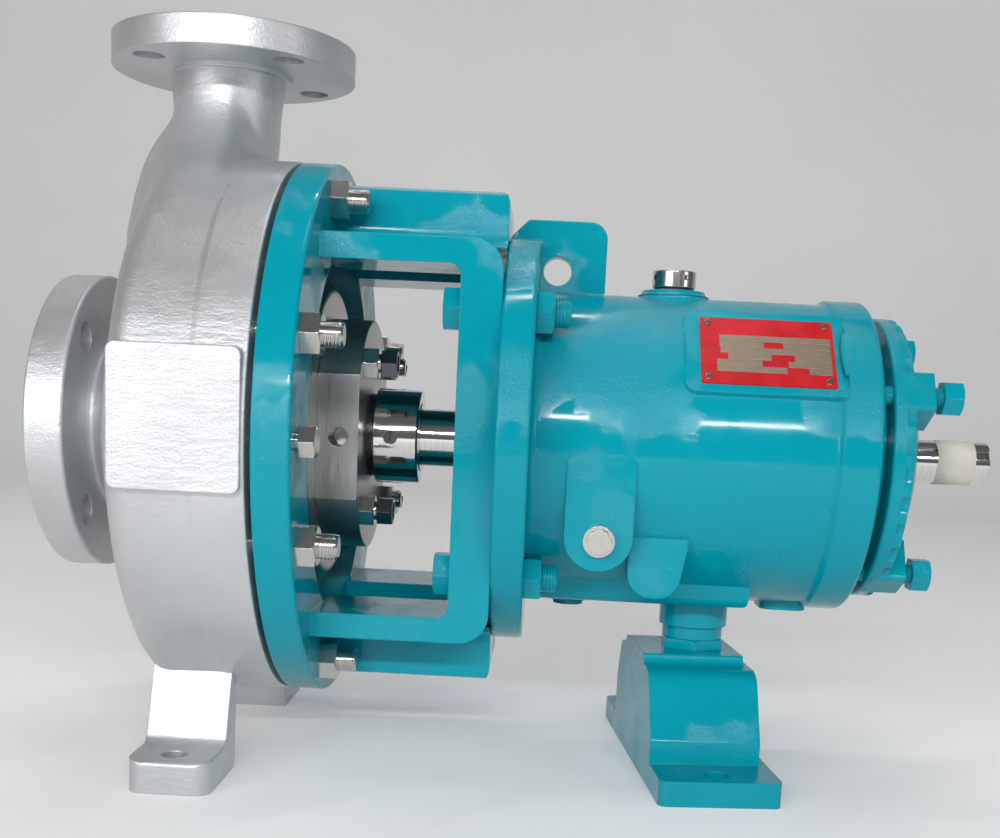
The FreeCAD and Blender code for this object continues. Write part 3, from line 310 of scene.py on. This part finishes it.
def add_threads():
    """Thread ridges wherever a bare screw end shows."""
    threads("casing_stud_threads", ring_of(8, 153 * MM, 22.5, 86.3 * MM), 10.4 * MM, 7 * MM, 2 * MM,
            0.55 * MM, STAINLESS, "pump_body")
    threads("gland_stud_threads", ring_of(4, 65 * MM, 45, 104.9 * MM), 5.4 * MM, 6 * MM, 1.75 * MM,
            0.5 * MM, STAINLESS, "pump_body")
    threads("adapter_bolt_threads", ring_of(4, 112 * MM, 45, 212.4 * MM), 8.6 * MM, 8 * MM, 2 * MM,
            0.6 * MM, ENAMEL, "pump_body")
    screws = (("jack_screw_threads_1", 150, "jack_screw_a"), ("jack_screw_threads_2", 330, "jack_screw_b"),
              ("clamp_bolt_threads_1", 60, "pump_body"), ("clamp_bolt_threads_2", 240, "pump_body"))
    for name, angle, body in screws:
        threads(name, ring_of(1, 81 * MM, angle, 441.9 * MM), 3.3 * MM, 6 * MM, 1.5 * MM, 0.5 * MM,
                ENAMEL, body)


def add_tape():
    """Paper tape wound a little more than once round the shaft end."""
    steps = 84
    turns = 1.2
    thickness = 0.15 * MM
    front = 465.4 * MM
    rear = 489.7 * MM
    first = 14.29 * MM
    vertices = []
    for i in range(steps + 1):
        angle = 0.7 + 2 * math.pi * turns * i / steps
        inner = first + 0.02 * MM + (thickness + 0.03 * MM) * max(0.0, i / steps * turns - 0.9)
        for x, r in ((front, inner), (rear, inner), (rear, inner + thickness), (front, inner + thickness)):
            wander = 0.15 * MM * math.sin(5 * angle) if x == front else 0.2 * MM * math.sin(3 * angle)
            vertices.append((x + wander, -r * math.cos(angle), SHAFT_Z + r * math.sin(angle)))
    faces = [(0, 1, 2, 3)]
    for i in range(steps):
        a = 4 * i
        b = a + 4
        faces += [(a + j, b + j, b + (j + 1) % 4, a + (j + 1) % 4) for j in range(4)]
    last = 4 * steps
    faces.append((last + 3, last + 2, last + 1, last))
    return new_piece("shaft_tape", vertices, faces, TAPE, "rotor")


# Blend of the discharge neck into the casing, in mm from the shaft axis
NECK_ROWS = ((227.0, -1.9, 34.6), (200.0, -4.6, 33.9), (187.0, -6.0, 34.7), (172.0, -10.0, 37.8),
             (158.0, -12.0, 41.0), (140.0, -13.5, 43.0), (100.0, -15.0, 44.0))
DOME_CORNER = (-25.5, 170.5)
DOME_FOOT = (-70.0, 53.0)
DOME_ROUND = 16.0
CASING_REAR = 49.2
BLEND_WIDTH = 54.0
BLEND_LIFT = 0.15
BLEND_EDGE_SINK = 0.4
BLEND_SHELL = 3.0
BLEND_TOP = 224.0
RIDGE_X = 20.8
RIDGE_DIP = 0.6


def smooth_step(value):
    value = min(1.0, max(0.0, value))
    return value * value * (3 - 2 * value)


def neck_at(z):
    """Centre and radius of the neck at a height, on a smooth curve through its sections."""
    rows = NECK_ROWS
    i = 0
    while i < len(rows) - 2 and z < rows[i + 1][0]:
        i += 1
    before = rows[max(0, i - 1)]
    start, end = rows[i], rows[i + 1]
    after = rows[min(len(rows) - 1, i + 2)]
    run = end[0] - start[0]
    t = min(1.0, max(0.0, (z - start[0]) / run))
    values = []
    for k in (1, 2):
        slope_in = (end[k] - before[k]) / (end[0] - before[0]) * run
        slope_out = (after[k] - start[k]) / (after[0] - start[0]) * run
        values.append((2 * t ** 3 - 3 * t ** 2 + 1) * start[k] + (t ** 3 - 2 * t ** 2 + t) * slope_in
                      + (3 * t ** 2 - 2 * t ** 3) * end[k] + (t ** 3 - t ** 2) * slope_out)
    return values


def ridge_dip(x):
    """How far the rim lies below its full radius, which it reaches again at the ridge."""
    step = 3.0
    rise = (x - DOME_CORNER[0]) / (RIDGE_X - step - DOME_CORNER[0])
    fall = (RIDGE_X - x) / step
    return RIDGE_DIP * max(0.0, min(1.0, rise, fall))


def dome_distance(x, y, z):
    """Distance from the turned outside of the casing, negative inside."""
    radius = math.hypot(y, z)
    along = Vector(DOME_CORNER) - Vector(DOME_FOOT)
    along.normalize()
    normal = Vector((-along.y, along.x))
    offset = Vector((x, radius)) - Vector(DOME_CORNER)
    slope = offset.dot(normal) + DOME_ROUND
    rim = offset.y + DOME_ROUND + ridge_dip(x)
    # The corner's centre lies where both lines are moved in by its radius
    centre = Vector((DOME_ROUND * (1 - normal.y) / -normal.x, -DOME_ROUND))
    away = offset - centre
    share_slope = away.x / normal.x
    share_rim = away.y - share_slope * normal.y
    outside = away.length if share_slope > 0 and share_rim > 0 else max(slope, rim)
    return max(outside - DOME_ROUND, x - CASING_REAR)


def blend_distance(x, y, z):
    """Distance from casing and neck together, with a soft fillet on the sides and a tight one behind."""
    dome = dome_distance(x, y, z)
    centre, radius = neck_at(z)
    neck = math.hypot(x - centre, y) - radius
    width = BLEND_WIDTH * smooth_step(abs(y) / 30) * (1 - 0.8 * smooth_step((x - 4) / 22))
    width *= smooth_step((z - 65) / 60)
    if width < 1:
        return min(dome, neck)
    overlap = max(width - abs(dome - neck), 0.0) / width
    return min(dome, neck) - overlap * overlap * width / 4


def blend_hit(angle, z, lift):
    """Distance from the neck's centre at which a level ray from outside meets the lifted blend surface."""
    centre = neck_at(z)[0]
    reach = 210.0
    for _ in range(70):
        gap = blend_distance(centre + reach * math.cos(angle), reach * math.sin(angle), z) - lift
        reach -= 0.75 * gap
        if abs(gap) < 0.02:
            break
    return reach


def add_neck_blend():
    """Thin cast skin that carries the discharge neck smoothly into the casing."""
    columns = 96
    rows = 64
    outer = []
    inner = []
    for row in range(rows + 1):
        inward = min(1.0, (rows - row) / 14)
        lift = BLEND_LIFT - (BLEND_LIFT + BLEND_EDGE_SINK) * (1 - smooth_step(inward))
        for column in range(columns):
            angle = 2 * math.pi * column / columns
            ahead = -math.cos(angle)
            bottom = 105 - (43 if ahead > 0 else 58) * ahead
            z = BLEND_TOP + (bottom - BLEND_TOP) * row / rows
            reach = blend_hit(angle, z, lift)
            centre = neck_at(z)[0]
            for points, r in ((outer, reach), (inner, reach - BLEND_SHELL)):
                points.append(((centre + r * math.cos(angle)) * MM, r * math.sin(angle) * MM,
                               SHAFT_Z + z * MM))
    count = len(outer)
    faces = []
    for row in range(rows):
        for column in range(columns):
            a = row * columns + column
            b = row * columns + (column + 1) % columns
            faces += [(a, a + columns, b + columns, b),
                      (count + a, count + b, count + b + columns, count + a + columns)]
    for column in range(columns):
        a = column
        b = (column + 1) % columns
        faces.append((a, b, count + b, count + a))
        a += rows * columns
        b += rows * columns
        faces.append((b, a, count + a, count + b))
    new_piece("casing_neck_blend", outer + inner, faces, SILVER, "pump_body")


# Nameplate: a bare red plate, tilted up from the near side round the shaft axis
PLATE_TILT = math.radians(40.5)
PLATE_FACE_R = 97.0 * MM
PLATE_LEFT = 300.0 * MM
PLATE_LENGTH = 79.8 * MM
PLATE_HEIGHT = 52.5 * MM
PLATE_HEADER = 0.265
PLATE_ROW = 0.0925
FIELD_LIFT = 0.12 * MM
ROW_LINE = 0.35 * MM
FIELD_END = 0.975
# Each row's label end, and the start and end of its second label, as shares of the plate's length
PLATE_ROWS = ((0.145, None), (0.145, (0.475, 0.62)), (0.15, None), (0.205, (0.53, 0.70)),
              (0.12, (0.46, 0.65)), (0.12, (0.64, 0.80)))


def on_plate(along, down, lift):
    """Point on the nameplate, from its upper left corner as shares of its length and height."""
    up = PLATE_HEIGHT * (0.5 - down)
    out = PLATE_FACE_R + lift
    return (PLATE_LEFT + PLATE_LENGTH * along, up * math.sin(PLATE_TILT) - out * math.cos(PLATE_TILT),
            SHAFT_Z + up * math.cos(PLATE_TILT) + out * math.sin(PLATE_TILT))


def plate_panel(name, start, end, top, bottom):
    """Thin bare-metal field on the nameplate."""
    corners = [on_plate(x, d, lift) for lift in (FIELD_LIFT, -0.1 * MM)
               for x, d in ((start, top), (end, top), (end, bottom), (start, bottom))]
    faces = [(3, 2, 1, 0), (0, 1, 5, 4), (1, 2, 6, 5), (2, 3, 7, 6), (3, 0, 4, 7), (4, 5, 6, 7)]
    return new_piece(name, corners, faces, PLATE_FIELD, "pump_body", smooth=False)


def add_nameplate_fields():
    """Bare fields in rows, with nothing printed in them."""
    line = ROW_LINE / PLATE_HEIGHT
    for row, (label_end, second) in enumerate(PLATE_ROWS):
        top = PLATE_HEADER + PLATE_ROW * row
        bottom = top + PLATE_ROW - line
        spans = ((label_end, second[0]), (second[1], FIELD_END)) if second else ((label_end, FIELD_END),)
        for side, (start, end) in enumerate(spans):
            plate_panel("plate_field_%d_%d" % (row + 1, side + 1), start, end, top, bottom)


# Setting

FLOOR_Z = 0.0
SWEEP_COLOUR = (0.80, 0.80, 0.80)
SWEEP_GLOW = 0.26


def add_stage():
    """Pale sweep: floor that curves up into a backdrop behind the pump."""
    depth = 2.2
    width = 8.0
    bend = 0.8
    front = -4.0
    profile = [(front, FLOOR_Z), (depth, FLOOR_Z)]
    for i in range(1, 13):
        angle = math.pi / 2 * i / 12
        profile.append((depth + bend * math.sin(angle), FLOOR_Z + bend * (1 - math.cos(angle))))
    profile.append((depth + bend, 5.0))
    vertices = [(x, y, z) for y, z in profile for x in (-width, width)]
    faces = [(2 * i, 2 * i + 1, 2 * i + 3, 2 * i + 2) for i in range(len(profile) - 1)]
    mesh = bpy.data.meshes.new("sweep")
    mesh.from_pydata(vertices, [], faces)
    mesh.polygons.foreach_set("use_smooth", [True] * len(mesh.polygons))
    look = Look("sweep", SWEEP_COLOUR, 0.9)
    look.tint(look.noise(2.5, 3.0), shade(SWEEP_COLOUR, 0.97), shade(SWEEP_COLOUR, 1.02))
    look.glow(SWEEP_COLOUR, SWEEP_GLOW)
    mesh.materials.append(look.material)
    sweep = bpy.data.objects.new("sweep", mesh)
    bpy.context.scene.collection.objects.link(sweep)


def area_light(name, place, target, size, power, colour=(1.0, 1.0, 1.0)):
    data = bpy.data.lights.new(name, "AREA")
    data.shape = "RECTANGLE"
    data.size = size[0]
    data.size_y = size[1]
    data.energy = power
    data.color = colour
    light = bpy.data.objects.new(name, data)
    light.location = place
    light.rotation_euler = (Vector(target) - Vector(place)).to_track_quat("-Z", "Y").to_euler()
    bpy.context.scene.collection.objects.link(light)


def add_lights():
    """A large soft window on the near left, thin tubes in front and overhead, and a dim even room."""
    middle = (0.2, 0.0, 0.2)
    area_light("window", (-1.25, -2.4, 0.95), middle, (1.6, 1.3), 29.0)
    area_light("front_tube", (0.45, -2.7, 1.3), middle, (1.9, 0.09), 40.0)
    area_light("top_tube", (0.25, -0.05, 2.3), middle, (1.3, 0.04), 6.0)
    area_light("rear_tube", (0.1, 0.8, 2.2), middle, (1.3, 0.04), 6.0)
    area_light("right_fill", (2.3, -1.2, 0.8), middle, (0.5, 0.9), 6.0)
    world = bpy.data.worlds.new("studio")
    world.use_nodes = True
    background = world.node_tree.nodes["Background"]
    background.inputs["Color"].default_value = (0.80, 0.81, 0.82, 1.0)
    background.inputs["Strength"].default_value = 0.15
    bpy.context.scene.world = world


def add_camera():
    """Camera at the photograph's place, direction and framing."""
    forward = Vector((math.sin(CAMERA_YAW), math.cos(CAMERA_YAW), 0.0))
    right = Vector((math.cos(CAMERA_YAW), -math.sin(CAMERA_YAW), 0.0))
    level_up = Vector((0.0, 0.0, 1.0))
    up = level_up * math.cos(CAMERA_PITCH) - forward * math.sin(CAMERA_PITCH)
    forward = forward * math.cos(CAMERA_PITCH) + level_up * math.sin(CAMERA_PITCH)
    rolled_right = right * math.cos(CAMERA_ROLL) + up * math.sin(CAMERA_ROLL)
    rolled_up = up * math.cos(CAMERA_ROLL) - right * math.sin(CAMERA_ROLL)
    data = bpy.data.cameras.new("camera")
    data.sensor_width = SENSOR_MM
    data.lens = FOCAL_PX / IMAGE_W * SENSOR_MM
    data.shift_x = SHIFT[0]
    data.shift_y = SHIFT[1]
    camera = bpy.data.objects.new("camera", data)
    turn = Matrix((rolled_right, rolled_up, -forward)).transposed()
    camera.matrix_world = Matrix.Translation(CAMERA_AT) @ turn.to_4x4()
    bpy.context.scene.collection.objects.link(camera)
    bpy.context.scene.camera = camera


dress_cad()
add_threads()
add_tape()
add_neck_blend()
add_nameplate_fields()
add_stage()
add_lights()
add_camera()
bpy.context.scene.view_settings.view_transform = "Standard"
